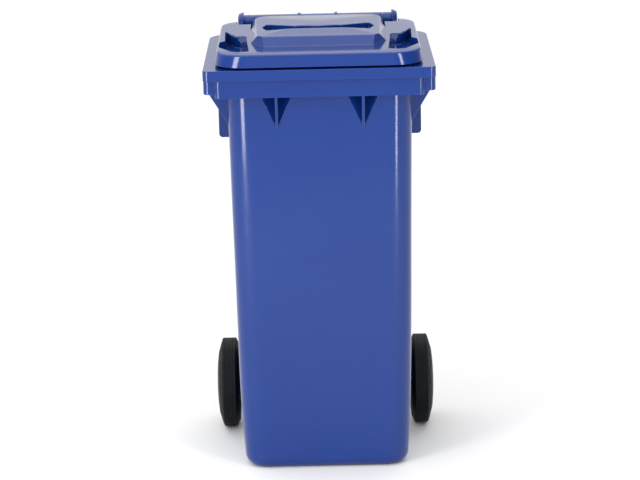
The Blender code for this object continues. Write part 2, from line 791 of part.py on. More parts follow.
def make_lock_spring(name, side, steel):
    """A small compression coil between the lock pin and the end of its bore."""
    wire, radius, turns, steps = 0.0004, 0.0022, 4, 12
    low = AXLE_Z + LOCK_PIN_LOW + LOCK_PIN_LENGTH + GAP + wire
    high = AXLE_Z + LOCK_BORE_TOP - GAP - wire
    curve = bpy.data.curves.new(name, "CURVE")
    curve.dimensions = "3D"
    curve.bevel_depth = wire
    curve.bevel_resolution = 1
    curve.use_fill_caps = True
    spline = curve.splines.new("POLY")
    count = turns * steps + 1
    spline.points.add(count - 1)
    for index, point in enumerate(spline.points):
        turn = 2 * math.pi * index / steps
        height = low + (high - low) * index / (count - 1)
        point.co = (
            side * GROOVE_X + radius * math.cos(turn),
            AXLE_Y + radius * math.sin(turn),
            height,
            1.0,
        )
    spring = bpy.data.objects.new(name, curve)
    bpy.context.scene.collection.objects.link(spring)
    spring.data.materials.append(steel)
    return spring


def make_wheel(side_name, side, finishes):
    pieces = [
        make_tyre("tyre_" + side_name, side, finishes["rubber"]),
        make_hub("wheel_hub_" + side_name, side, finishes["wheel_plastic"]),
        make_cap("hub_cap_" + side_name, side, finishes["wheel_plastic"]),
        make_lock_pin("lock_pin_" + side_name, side, finishes["steel"]),
        make_lock_spring("lock_spring_" + side_name, side, finishes["steel"]),
    ]
    axis = pivot_at("wheel_axis_" + side_name, Vector((side * WHEEL_INNER_X, AXLE_Y, AXLE_Z)))
    hang_on(axis, *pieces)


def main():
    for old in list(bpy.data.objects):
        bpy.data.objects.remove(old)
    finishes = {
        "blue": material("blue_plastic", (0.030, 0.080, 0.330), 0.30),
        "wheel_plastic": material("wheel_plastic", (0.012, 0.012, 0.014), 0.45),
        "rubber": material("rubber", (0.010, 0.010, 0.011), 0.75),
        "steel": material("zinc_plated_steel", (0.62, 0.63, 0.65), 0.35, 1.0),
    }
    make_body(finishes["blue"])
    make_lid(finishes["blue"])
    make_axle(finishes["steel"])
    for side_name, side in SIDES:
        make_hinge_pin("hinge_pin_" + side_name, side, finishes["blue"])
        make_buffer("lid_buffer_" + side_name, side, finishes["rubber"])
        make_ring(
            "axle_spacer_" + side_name, side, WEB_PLACES[1][1] + GAP, WHEEL_INNER_X - GAP,
            AXLE_RADIUS + GAP, 0.015, 0.001, finishes["wheel_plastic"],
        )
        make_wheel(side_name, side, finishes)


main()
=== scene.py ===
import json
import math

import bmesh
import bpy
from mathutils import Matrix, Vector, noise


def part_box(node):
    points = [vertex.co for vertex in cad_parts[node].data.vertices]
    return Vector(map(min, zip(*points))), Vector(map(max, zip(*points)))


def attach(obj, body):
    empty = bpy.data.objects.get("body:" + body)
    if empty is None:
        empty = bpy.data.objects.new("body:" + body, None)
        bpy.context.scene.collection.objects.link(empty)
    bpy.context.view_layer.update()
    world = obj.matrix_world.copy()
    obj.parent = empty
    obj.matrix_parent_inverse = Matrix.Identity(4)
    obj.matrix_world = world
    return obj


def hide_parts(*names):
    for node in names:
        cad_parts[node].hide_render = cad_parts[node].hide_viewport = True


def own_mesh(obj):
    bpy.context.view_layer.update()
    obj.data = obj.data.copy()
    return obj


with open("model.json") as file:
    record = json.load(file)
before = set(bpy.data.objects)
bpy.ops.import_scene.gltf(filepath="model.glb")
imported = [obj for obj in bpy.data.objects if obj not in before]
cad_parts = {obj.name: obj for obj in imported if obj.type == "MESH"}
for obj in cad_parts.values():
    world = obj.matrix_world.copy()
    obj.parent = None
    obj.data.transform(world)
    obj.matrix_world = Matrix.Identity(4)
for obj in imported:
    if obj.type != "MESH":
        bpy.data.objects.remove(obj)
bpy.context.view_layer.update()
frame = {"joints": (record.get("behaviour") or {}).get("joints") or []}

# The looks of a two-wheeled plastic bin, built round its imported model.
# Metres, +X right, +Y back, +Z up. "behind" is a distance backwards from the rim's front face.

JOINTS = {joint["name"]: joint for joint in frame["joints"]}
SIDES = (("left", -1), ("right", 1))
GAP = 0.0003                # between pieces that touch
FAR_BEHIND = 0.520          # behind everything, for cutters that run out at the rear
FAR_ABOVE = 0.960           # above everything, for cutters that are open at the top
SUNK = 0.002                # how far a piece runs into the one that it is joined to

# The body, from the frame's boxes where they give a size
BODY_LOW, BODY_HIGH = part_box("body")
LID_LOWEST, LID_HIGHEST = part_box("lid")
BUFFER_LOW, BUFFER_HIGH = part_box("lid_buffer_right")
HINGE_AT = tuple(Vector(JOINTS["lid_hinge"]["pos_m"]).yz)
FRONT = BODY_LOW.y
RIM_HALF_WIDTH = BODY_HIGH.x
RIM_DEPTH = 0.486
RIM_TOP = BUFFER_LOW.z - GAP
RIM_FRONT_RADIUS = 0.013
RIM_REAR_RADIUS = 0.055
RIM_EDGE = 0.0016           # rounding along the rim's edges
FLANGE = 0.004              # thickness of the rim's top and of its skirts
UPPER_BAND_LOW = 0.857
LOWER_BAND_LOW = 0.820
LOWER_BAND_HALF_WIDTH = 0.2156
LOWER_BAND_BEHIND = 0.010
SKIRT_BEHIND = 0.020
SKIRT_LOW = 0.827
WALL = 0.004
FLOOR = 0.005
BASE_ROUNDING = 0.022
BODY_RADIUS = 0.048
BODY_HALF_WIDTHS = ((0.0, 0.1745), (0.035, 0.1775), (0.136, 0.183), (0.333, 0.1865), (RIM_TOP, 0.1935))
BODY_FRONT_BEHIND = ((0.0, 0.064), (RIM_TOP, 0.038))
BODY_REAR_BEHIND = ((0.0, 0.405), (RIM_TOP, 0.466))
WALL_LEVELS = 30
WALL_PIECES = 12            # along each straight side of the tub
WALL_SWELL = 0.0012         # how far the middle of each wall stands proud of flat
WALL_WAVE = 0.0004          # the depth of its slight unevenness
TUNNEL_BEHIND = 0.335
TUNNEL_TOP = 0.150
TUNNEL_SLOPE = 0.045
WEB_PLACES = ((0.055, 0.062), (0.169, 0.177))
SIDE_GUSSETS = (("corner", (0.090, 0.750)), ("middle", (0.190, 0.765)), ("rear", (0.395, 0.765)))
FRONT_RIB_X = 0.090
FRONT_RIB_LOW = 0.746
RECESS_TOP = 0.823
RECESS_DEEPEST = 0.058      # behind
WALL_FRONT = 0.0395         # behind, at the recess's top
HANDLE_RADIUS = 0.016
HANDLE_RING_RADIUS = 0.019
HANDLE_RING_X = 0.041
HANDLE_RING_WIDTH = 0.007
BRACKET_INSIDE = 0.138
BRACKET_OUTSIDE = 0.146

# The lid
LID_HALF_WIDTH = 0.216
LID_FRONT = LID_LOWEST.y
LID_REAR_BEHIND = 0.474
LID_LOW = BUFFER_HIGH.z + GAP
LID_EDGE_TOP = 0.9115
LID_WALL = 0.0035
LID_FRONT_RADIUS = 0.064
LID_REAR_RADIUS = 0.070
LID_CORNER_SLOPE = 0.006    # how much larger the front corners' radius is at the lid's upper edge
LID_SIDE_SLOPE = 0.003      # how far each side has leant in by there
LID_ROUNDING = 0.005        # along the lid's upper edge
LID_FOOT = 0.0008           # the rounding along its lower edge
LID_DRAFT = 0.0008          # how far in the upper edge's rounding starts
LID_RISE = 0.002            # from the upper edge to the flat surface further in
WING_TOP = LID_EDGE_TOP + LID_RISE
PLATEAU_TOP = 0.932
CROWN_TOP = LID_HIGHEST.z
SLOT_FLOOR = 0.9225
SHELF_BEHIND = 0.404
SHELF_HALF_WIDTH = 0.178
SHELF_TOP = 0.8895
POCKET_FLOOR = 0.8900
TRENCH_FLOOR = 0.8925
EYE_INSIDE = 0.1465
EYE_OUTSIDE = 0.165
EYE_RADIUS = 0.016
LIP = 0.0018                # rounding where a recess meets the surface round it

# The hinge pins
PIN_RADIUS = 0.008
PIN_HEAD_RADIUS = 0.022
PIN_INNER_END = 0.120
PIN_HEAD_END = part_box("hinge_pin_right")[1].x

# The running gear
AXLE_LOW, AXLE_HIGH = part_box("axle")
AXLE_CENTRE = (AXLE_LOW + AXLE_HIGH) / 2
AXLE_AT = (AXLE_CENTRE.y, AXLE_CENTRE.z)
AXLE_Y, AXLE_Z = AXLE_AT
AXLE_RADIUS = (AXLE_HIGH.z - AXLE_LOW.z) / 2
AXLE_HALF_LENGTH = AXLE_HIGH.x
WHEEL_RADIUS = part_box("tyre_right")[1].z - AXLE_Z
WHEEL_INNER_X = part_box("wheel_hub_right")[0].x
GROOVE_RADIUS = 0.007
GROOVE_X = 0.225
GROOVE_HALF_WIDTH = 0.0038
TYRE_BORE_RADIUS = 0.0755
HUB_TUBE_RADIUS = 0.017
CAP_RADIUS = 0.024
SPOKES = 6
LOCK_PIN_RADIUS = 0.003
LOCK_BORE_TOP = 0.0345

ROUND_STEPS = 96            # round the hub
SHARPEST_SMOOTHED = 32.0    # degrees between two faces


# Outlines, as lists of points in a plane

def behind(distance):
    return FRONT + distance


def along(table, height):
    """The value at a height, from a table of (height, value) with straight runs between them."""
    for (low, first), (high, last) in zip(table, table[1:]):
        if height <= high:
            return first + (last - first) * (height - low) / (high - low)
    return table[-1][1]


def eased_along(table, height, reach=0.05):
    """along, averaged over a reach up and down so that its bends are soft."""
    steps = [reach * step / 4 for step in range(-4, 5)]
    slope = (along(table, 0.02) - along(table, 0.0)) / 0.02
    values = [along(table, height + step) if height + step >= 0 else table[0][1] + slope * (height + step)
              for step in steps]
    return sum(values) / len(values)


def arc(centre, radius, start, end, steps):
    """Points on an arc, its ends included, with the angles in degrees."""
    angles = [math.radians(start + (end - start) * step / steps) for step in range(steps + 1)]
    return [(centre[0] + radius * math.cos(a), centre[1] + radius * math.sin(a)) for a in angles]


def with_points_between(points, pieces, longest=0.020):
    """A closed outline with each run over a length divided into pieces."""
    result = []
    for point, after in zip(points, points[1:] + points[:1]):
        count = pieces if math.dist(point, after) > longest else 1
        result += [
            tuple(a + (b - a) * step / count for a, b in zip(point, after)) for step in range(count)
        ]
    return result


def rounded_rectangle(half_width, front, rear, front_radius, rear_radius, steps=12):
    """Counter-clockwise from the front right corner."""
    near, far = front + front_radius, rear - rear_radius
    inner_front, inner_rear = half_width - front_radius, half_width - rear_radius
    return (
        arc((inner_front, near), front_radius, -90, 0, steps)
        + arc((inner_rear, far), rear_radius, 0, 90, steps)
        + arc((-inner_rear, far), rear_radius, 90, 180, steps)
        + arc((-inner_front, near), front_radius, 180, 270, steps)
    )


def filleted(corners, radius=0.0, steps=4, closed=True):
    """An outline with its corners rounded. A corner may carry its own radius as a third number."""
    count = len(corners)
    result = []
    for index, corner in enumerate(corners):
        here = Vector(corner[:2])
        wanted = corner[2] if len(corner) == 3 else radius
        if wanted == 0 or not closed and index in (0, count - 1):
            result.append(tuple(here))
            continue
        to_before = Vector(corners[index - 1][:2]) - here
        to_after = Vector(corners[(index + 1) % count][:2]) - here
        half = to_before.angle(to_after) / 2
        if half > math.radians(88):
            result.append(tuple(here))
            continue
        cut = min(wanted / math.tan(half), 0.48 * to_before.length, 0.48 * to_after.length)
        size = cut * math.tan(half)
        bisector = (to_before.normalized() + to_after.normalized()).normalized()
        centre = here + bisector * (size / math.sin(half))
        start = here + to_before.normalized() * cut - centre
        end = here + to_after.normalized() * cut - centre
        turn = start.angle_signed(end)
        for step in range(steps + 1):
            spoke = start.copy()
            spoke.rotate(Matrix.Rotation(-turn * step / steps, 2))
            result.append(tuple(centre + spoke))
    return result


def inset(outline, distance, longest=3.0):
    """A counter-clockwise outline moved inwards, or outwards for a negative distance.

    The distance is one number, or a list with one for each point.
    """
    distances = distance if isinstance(distance, list) else [distance] * len(outline)
    moved = []
    for index, (point, amount) in enumerate(zip(outline, distances)):
        here = Vector(point)
        before = (here - Vector(outline[index - 1])).normalized()
        after = (Vector(outline[(index + 1) % len(outline)]) - here).normalized()
        bisector = Vector((-before.y - after.y, before.x + after.x)).normalized()
        stretch = 1.0 / max(bisector.dot(Vector((-before.y, before.x))), 1.0 / longest)
        moved.append(tuple(here + bisector * amount * stretch))
    return moved


def scaled(outline, factor):
    """An outline shrunk towards the middle of its box."""
    middle = [(min(axis) + max(axis)) / 2 for axis in zip(*outline)]
    return [tuple(m + (value - m) * factor for m, value in zip(middle, point)) for point in outline]


def mirrored(right):
    """A closed outline from its right half, which runs from front to rear."""
    return right + [(-x, y) for x, y in reversed(right)]


def blended(first, second, share):
    """The outline a share of the way from one outline to another."""
    return [tuple(a + (b - a) * share for a, b in zip(p, q)) for p, q in zip(first, second)]


def rounding(steps, end=90):
    """(Along, inwards) pairs for a rounded edge of radius 1, from where it starts on a wall."""
    turns = [math.radians(end * step / steps) for step in range(steps + 1)]
    return [(1 - math.sin(turn), 1 - math.cos(turn)) for turn in turns]


def edged(low, high, low_edge=0.0, high_edge=0.0, steps=4):
    """(height, inset) pairs for a prism with rounded ends, or flared ones where an edge is negative."""
    pairs = rounding(steps)
    bottom = [(low + abs(low_edge) * up, low_edge * inwards) for up, inwards in reversed(pairs)]
    top = [(high - abs(high_edge) * down, high_edge * inwards) for down, inwards in pairs]
    return (bottom if low_edge else [(low, 0.0)]) + (top if high_edge else [(high, 0.0)])


# Solids

def linked(name, data):
    """An object in the scene from its data."""
    made = bpy.data.objects.new(name, data)
    bpy.context.scene.collection.objects.link(made)
    return made


def finished(name, edit):
    """An object from a bmesh, with its normals outwards."""
    bmesh.ops.recalc_face_normals(edit, faces=edit.faces)
    mesh = bpy.data.meshes.new(name)
    edit.to_mesh(mesh)
    edit.free()
    return linked(name, mesh)


def lofted(name, rings, closed=False):
    """A solid through rings of as many 3-D points each, closed like a tyre or with flat ends."""
    edit = bmesh.new()
    loops = [[edit.verts.new(point) for point in ring] for ring in rings]
    for first, second in zip(loops, loops[1:] + loops[:1] if closed else loops[1:]):
        for index in range(len(first)):
            after = (index + 1) % len(first)
            edit.faces.new((first[index], first[after], second[after], second[index]))
    if not closed:
        edit.faces.new(loops[0])
        edit.faces.new(loops[-1])
    return finished(name, edit)


def stacked(name, layers):
    """A solid from (height, outline) pairs."""
    return lofted(name, [[(x, y, height) for x, y in outline] for height, outline in layers])


def prism(name, outline, low, high, low_edge=0.0, high_edge=0.0):
    """An outline made solid along Z, with rounded or flared ends."""
    pairs = edged(low, high, low_edge, high_edge)
    return stacked(name, [(height, inset(outline, distance)) for height, distance in pairs])


def plate(name, profile, start_x, end_x, edge=0.0007):
    """A (Y, Z) profile with a thickness along X, its edges rounded."""
    low, high = sorted((start_x, end_x))
    rings = [(x, inset(profile, distance)) for x, distance in edged(low, high, edge, edge, 2)]
    return lofted(name, [[(x, y, z) for y, z in ring] for x, ring in rings])


def panel(name, profile, start_y, end_y, edge=0.0007):
    """An (X, Z) profile with a thickness along Y, its edges rounded."""
    rings = [(y, inset(profile, distance)) for y, distance in edged(start_y, end_y, edge, edge, 2)]
    return lofted(name, [[(x, y, z) for x, z in ring] for y, ring in rings])


def box_outline(low, high):
    return [(low[0], low[1]), (high[0], low[1]), (high[0], high[1]), (low[0], high[1])]


def turned(name, profile, centre, steps):
    """A solid turned about a line along X, from (x, radius) pairs; equal first and last pairs close it."""
    closed = profile[0] == profile[-1]
    pairs = profile[:-1] if closed else profile
    rings = [[(x, *point) for point in arc(centre, radius, 0, 360, steps)[:-1]] for x, radius in pairs]
    return lofted(name, rings, closed)


def upright(name, centre, radius, low, high, edge=0.0, steps=32):
    """A round post along Z with rounded ends."""
    outline = arc(centre, radius, 0, 360, steps)[:-1]
    return prism(name, outline, low, high, edge, edge)


def filling(name, node, bottom, top):
    """A round post in a node's box, from (distance in from an end, inset) pairs."""
    low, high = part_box(node)
    centre, radius = ((low.x + high.x) / 2, (low.y + high.y) / 2), (high.y - low.y) / 2
    outline = arc(centre, radius, 0, 360, 40)[:-1]
    pairs = [(low.z + rise, distance) for rise, distance in bottom]
    pairs += [(high.z - rise, distance) for rise, distance in top]
    return stacked(name, [(height, inset(outline, distance)) for height, distance in pairs])


def hull(name, points):
    edit = bmesh.new()
    for point in points:
        edit.verts.new(point)
    bmesh.ops.convex_hull(edit, input=edit.verts)
    return finished(name, edit)


def combine(target, operation, others):
    """Applies a Boolean with each other object to the target, and removes them."""
    for other in others:
        modifier = target.modifiers.new(other.name, "BOOLEAN")
        modifier.operation = operation
        modifier.solver = "MANIFOLD"
        modifier.object = other
    graph = bpy.context.evaluated_depsgraph_get()
    mesh = bpy.data.meshes.new_from_object(target.evaluated_get(graph))
    target.modifiers.clear()
    target.data = mesh
    for other in others:
        bpy.data.objects.remove(other)
    return target


def join(target, *others):
    return combine(target, "UNION", others)


def cut(target, *others):
    return combine(target, "DIFFERENCE", others)


def placed(piece, body, slot, finish, *nodes):
    """Shades a piece, gives it its material and ties it to the frame."""
    edit = bmesh.new()
    edit.from_mesh(piece.data)
    bmesh.ops.remove_doubles(edit, verts=edit.verts, dist=0.00001)
    bmesh.ops.dissolve_degenerate(edit, edges=edit.edges, dist=0.000005)
    edit.to_mesh(piece.data)
    edit.free()
    mesh = piece.data
    mesh.shade_smooth()
    mesh.set_sharp_from_angle(angle=math.radians(SHARPEST_SMOOTHED))
    weighted = piece.modifiers.new("weighted_normals", "WEIGHTED_NORMAL")
    weighted.keep_sharp = True
    weighted.weight = 80
    mesh.materials.clear()
    mesh.materials.append(finish)
    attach(piece, body)
    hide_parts(*nodes)
    return piece


# The body

def wall_swell(point, height, half_width, front, rear):
    """How far a wall stands proud at a point: fullest in its middle, with a slight unevenness."""
    x, y = point
    middle, half_depth = (front + rear) / 2, (rear - front) / 2
    across = max(0.0, 1 - (x / (half_width - BODY_RADIUS)) ** 2)
    deep = max(0.0, 1 - ((y - middle) / (half_depth - BODY_RADIUS)) ** 2)
    on_side = abs(x) > half_width - 0.001
    share = (deep if on_side else across) * math.sin(math.pi * min(max(height / RIM_TOP, 0.0), 1.0))
    wave = noise.noise(Vector((x * 5.0, y * 5.0, height * 4.0)))
    return WALL_SWELL * share + WALL_WAVE * wave


def body_outline(height, distance_in=0.0):
    half_width = eased_along(BODY_HALF_WIDTHS, height)
    front, rear = behind(along(BODY_FRONT_BEHIND, height)), behind(along(BODY_REAR_BEHIND, height))
    outline = rounded_rectangle(half_width, front, rear, BODY_RADIUS, BODY_RADIUS)
    outline = with_points_between(outline, WALL_PIECES)
    swells = [distance_in - wall_swell(point, height, half_width, front, rear) for point in outline]
    return inset(outline, swells)


def body_layers(distance_in, floor, top):
    """The tub's layers: a rounded edge round the base, then the drafted walls."""
    radius = BASE_ROUNDING - distance_in
    layers = []
    for inwards, up in rounding(8):     # the same curve, turned to run from the floor to the wall
        height = floor + radius * up
        layers.append((height, inset(body_outline(height, distance_in), radius * inwards)))
    first = layers[-1][0]
    for level in range(1, WALL_LEVELS + 1):
        height = first + (top - first) * level / WALL_LEVELS
        layers.append((height, body_outline(height, distance_in)))
    return layers


def make_rim():
    """The rim: a flat top with a stepped skirt at the front and a deeper skirt round the sides."""
    rear = behind(RIM_DEPTH)
    whole = rounded_rectangle(RIM_HALF_WIDTH, behind(0), rear, RIM_FRONT_RADIUS, RIM_REAR_RADIUS)
    skirt = rounded_rectangle(RIM_HALF_WIDTH, behind(SKIRT_BEHIND), rear, RIM_FRONT_RADIUS, RIM_REAR_RADIUS)
    band = rounded_rectangle(LOWER_BAND_HALF_WIDTH, behind(LOWER_BAND_BEHIND), behind(0.060), 0.010, 0.010)
    rim = prism("rim", whole, UPPER_BAND_LOW, RIM_TOP, RIM_EDGE, RIM_EDGE)
    join(
        rim,
        prism("rim_skirt", skirt, SKIRT_LOW, UPPER_BAND_LOW + 0.010, RIM_EDGE),
        prism("rim_lower_band", band, LOWER_BAND_LOW, UPPER_BAND_LOW + 0.012, RIM_EDGE),
    )
    roof = RIM_TOP - FLANGE
    ledge = UPPER_BAND_LOW + FLANGE
    return cut(
        rim,
        prism("comb_hollow", inset(whole, FLANGE), ledge, roof, 0.0, 0.0015),
        prism("skirt_hollow", inset(skirt, FLANGE), 0.800, ledge + 0.003),
        prism("band_hollow", inset(band, FLANGE), 0.805, ledge + 0.005),
    )


def front_recess(name, x, grow):
    """The inverted pyramid sunk into the front wall behind each front rib, deepest along the rib."""
    half, back, top = 0.035 + 1.5 * grow, RECESS_DEEPEST + 1.15 * grow, RECESS_TOP + 0.3 * grow
    tip = FRONT_RIB_LOW + 0.004 - 2.0 * grow
    points = []
    for side in (-1, 1):
        points += [(x + side * half, behind(0.030), top), (x + side * half, behind(WALL_FRONT + grow), top)]
        points += [(x + side * 0.004, behind(back), top)]
    points += [(x, behind(0.030), tip), (x, behind(0.0415 + grow), tip)]
    return hull(name, points)


def front_rib(name, x):
    half = 0.003
    profile = [
        (behind(0.012), LOWER_BAND_LOW + 0.002, 0.003),
        (behind(0.0415), FRONT_RIB_LOW, 0.002),
        (behind(0.0435), FRONT_RIB_LOW + 0.006),
        (behind(RECESS_DEEPEST + 0.002), RECESS_TOP - 0.001),
        (behind(0.0415), RECESS_TOP + 0.004),
        (behind(0.0415), RIM_TOP - SUNK),
        (behind(0.012), RIM_TOP - SUNK),
    ]
    return plate(name, filleted(profile), x - half, x + half)


def side_gusset(name, side, place, low, thickness=0.005):
    """A web under the side rim, whose lower edge slants in and then runs out down the wall in a curve."""
    reach, radius = RIM_HALF_WIDTH - 0.002, 0.050
    wall = along(BODY_HALF_WIDTHS, low) - 0.0005
    turn = math.atan2(reach - wall, SKIRT_LOW - low)
    end = low - radius * math.tan(turn / 2)
    top = SKIRT_LOW + 0.006
    profile = [(wall - SUNK, end), (along(BODY_HALF_WIDTHS, top) - SUNK, top)]
    profile += [(reach, top), (reach, SKIRT_LOW)]
    profile += arc((wall + radius, end), radius, 180 - math.degrees(turn), 180, 8)
    profile = [(side * x, z) for x, z in profile]
    return panel(name, profile[::-side], behind(place), behind(place) + thickness, edge=0.0010)


def side_plate(name, side):
    """The long upright plate on each side wall, with a rounded lower corner."""
    outer, low, radius = 0.220, 0.683, 0.008
    corner = arc((outer - radius, low + radius), radius, -90, 0, 6)
    profile = [(0.1885, low)] + corner + [(outer, SKIRT_LOW + 0.006), (0.1905, SKIRT_LOW + 0.006)]
    profile = [(side * x, z) for x, z in profile]
    return panel(name, profile[::side], behind(0.298), behind(0.303))


def axle_tunnel(name, grow, half_width):
    """The hollow across the lower back that the axle runs through, with a slanting roof."""
    profile = [
        (behind(TUNNEL_BEHIND - grow), -0.010, 0.0),
        (behind(FAR_BEHIND), -0.010, 0.0),
        (behind(FAR_BEHIND), TUNNEL_TOP + grow, 0.0),
        (behind(TUNNEL_BEHIND + TUNNEL_SLOPE - grow), TUNNEL_TOP + grow),
        (behind(TUNNEL_BEHIND - grow), TUNNEL_TOP - TUNNEL_SLOPE + grow),
    ]
    return plate(name, filleted(profile, 0.012 + grow), -half_width, half_width, edge=0.0)


def axle_web(name, x0, x1):
    """One of the webs in the tunnel that carry the axle, rounded below it."""
    rear = behind(along(BODY_REAR_BEHIND, TUNNEL_TOP)) - 0.004
    profile = [(behind(TUNNEL_BEHIND - 0.002), TUNNEL_TOP - TUNNEL_SLOPE + 0.004)]
    profile += [(behind(TUNNEL_BEHIND - 0.002), AXLE_Z - 0.030)]
    profile += arc(AXLE_AT, 0.020, -110, 0, 12)
    profile += [(rear, TUNNEL_TOP + 0.002), (behind(TUNNEL_BEHIND + TUNNEL_SLOPE), TUNNEL_TOP + 0.002)]
    return plate(name, profile, x0, x1)


def handle_bracket(name, side):
    """The arm from the rim to the handle, which also takes the hinge pin."""
    profile = [(behind(0.474), 0.842), (behind(0.496), 0.850)]
    profile += arc(HINGE_AT, HANDLE_RADIUS, -60, 130, 24)
    profile += [(behind(0.500), RIM_TOP - SUNK), (behind(0.474), RIM_TOP - SUNK)]
    return plate(name, profile, side * BRACKET_INSIDE, side * BRACKET_OUTSIDE, edge=0.0012)


def rear_rib(name, side):
    """The rib that carries the bracket's load down the rear wall."""
    rear = along(BODY_REAR_BEHIND, 0.780)
    profile = [
        (behind(rear - 0.003), 0.760, 0.0),
        (behind(rear + 0.001), 0.755, 0.0),
        (behind(0.480), SKIRT_LOW - 0.010, 0.004),
        (behind(0.480), RIM_TOP - SUNK, 0.0),
        (behind(rear - 0.001), RIM_TOP - SUNK, 0.0),
    ]
    return plate(name, filleted(profile), side * BRACKET_INSIDE, side * BRACKET_OUTSIDE)


def handle_bar():
    """The handle's round bar, with two narrow rings."""
    profile = [(-BRACKET_INSIDE - SUNK, HANDLE_RADIUS)]
    for centre in (-HANDLE_RING_X, HANDLE_RING_X):
        low, high = centre - HANDLE_RING_WIDTH / 2, centre + HANDLE_RING_WIDTH / 2
        profile += [(low - 0.0005, HANDLE_RADIUS), (low + 0.0008, HANDLE_RING_RADIUS)]
        profile += [(high - 0.0008, HANDLE_RING_RADIUS), (high + 0.0005, HANDLE_RADIUS)]
    profile += [(BRACKET_INSIDE + SUNK, HANDLE_RADIUS)]
    return turned("handle_bar", filleted(profile, 0.0008, 3, closed=False), HINGE_AT, 64)


def base_cells():
    """Shallow pockets under the base, which leave a border and a grid of ribs standing on the floor."""
    columns, rows, rib = 4, 3, 0.006
    low_x, high_x, low_y, high_y = -0.138, 0.138, behind(0.100), behind(0.318)
    width, depth = (high_x - low_x) / columns, (high_y - low_y) / rows
    for column in range(columns):
        for row in range(rows):
            x0, y0 = low_x + column * width + rib / 2, low_y + row * depth + rib / 2
            outline = filleted(box_outline((x0, y0), (x0 + width - rib, y0 + depth - rib)), 0.006)
            mouth = inset(outline, -0.001)
            yield stacked(f"base_cell_{column}_{row}", [(-0.005, mouth), (0.0, mouth), (0.0020, outline)])


def make_body(plastic):
    body = make_rim()
    body.name = "bin_shell"
    join(body, stacked("tub", body_layers(0.0, 0.0, RIM_TOP - SUNK)))
    cavity = stacked("cavity", body_layers(WALL, FLOOR, RIM_TOP + 0.020))
    cut(cavity, axle_tunnel("tunnel_skin", WALL, 0.200))
    for hand, side in SIDES:
        cut(cavity, front_recess("recess_skin_" + hand, side * FRONT_RIB_X, WALL))
    cut(body, cavity, axle_tunnel("axle_tunnel", 0.0, 0.201), *base_cells())
    for hand, side in SIDES:
        cut(body, front_recess("recess_" + hand, side * FRONT_RIB_X, 0.0))
    for hand, side in SIDES:
        join(
            body,
            front_rib("front_rib_" + hand, side * FRONT_RIB_X),
            *(side_gusset(f"{place}_gusset_{hand}", side, *at) for place, at in SIDE_GUSSETS),
            side_plate("side_plate_" + hand, side),
            rear_rib("rear_rib_" + hand, side),
            handle_bracket("handle_bracket_" + hand, side),
        )
        for place, (inner, outer) in zip(("inner", "outer"), WEB_PLACES):
            join(body, axle_web(place + "_axle_web_" + hand, side * inner, side * outer))
    join(body, handle_bar())
    bore = AXLE_RADIUS + GAP
    cut(body, turned("axle_bore", [(-0.19, bore), (0.19, bore)], AXLE_AT, 48))
    pin_bore = PIN_RADIUS + GAP
    for hand, side in SIDES:
        ends = [(side * (PIN_INNER_END - GAP), pin_bore), (side * 0.150, pin_bore)]
        cut(body, turned("pin_bore_" + hand, ends, HINGE_AT, 48))
    return placed(body, "bin_body", "body_plastic", plastic, "body")


# The lid

def lid_outline(height, distance_in=0.0):
    """The lid's outline, which leans inwards at the sides and front corners as it rises."""
    rise = min(max((height - LID_LOW) / (LID_EDGE_TOP - LID_LOW), 0.0), 1.0)
    half_width = LID_HALF_WIDTH - LID_SIDE_SLOPE * rise
    front_radius, rear = LID_FRONT_RADIUS + LID_CORNER_SLOPE * rise, behind(LID_REAR_BEHIND)
    outline = rounded_rectangle(half_width, LID_FRONT, rear, front_radius, LID_REAR_RADIUS, 16)
    return inset(outline, distance_in)


def plateau_outline(front, rear, half_width, radius, distance_in):
    """An outline of the raised middle, from its front points on the right and its round rear corners."""
    right = [(x, behind(distance)) for x, distance in front] + [(half_width, rear - radius)]
    right += arc((half_width - radius, rear - radius), radius, 0, 90, 10)[1:]
    return inset(mirrored(right), distance_in)


def plateau_foot(distance_in):
    """The raised middle's lower edge, with its front corners cut off."""
    return plateau_outline(((0.114, 0.092), (0.143, 0.142)), behind(0.402), 0.147, 0.040, distance_in)


def plateau_edge(distance_in):
    """Its upper edge, in from the foot by more at the sides than at the front and rear."""
    return plateau_outline(((0.118, 0.113), (0.1275, 0.124)), behind(0.396), 0.135, 0.032, distance_in)


def ramp(share, soft=0.16):
    """From 0 to 1 as share goes from 0 to 1, with the bends at both ends softened."""
    if share < soft:
        return max(share + soft, 0.0) ** 2 / (4 * soft)
    if share > 1 - soft:
        return 1 - max(1 + soft - share, 0.0) ** 2 / (4 * soft)
    return share


def crown(share):
    """The plateau's rise above its edge, where share is 1 at the edge and 0 in the middle."""
    return (CROWN_TOP - PLATEAU_TOP) * (1 - share ** 2) ** 1.4


def plateau_height(point):
    """The height of the plateau's top at a point."""
    x, y = point
    middle, half_depth = behind(0.2545), 0.1415
    share = min(1.0, max(abs(x) / 0.131, abs(y - middle) / half_depth))
    return PLATEAU_TOP + crown(share)


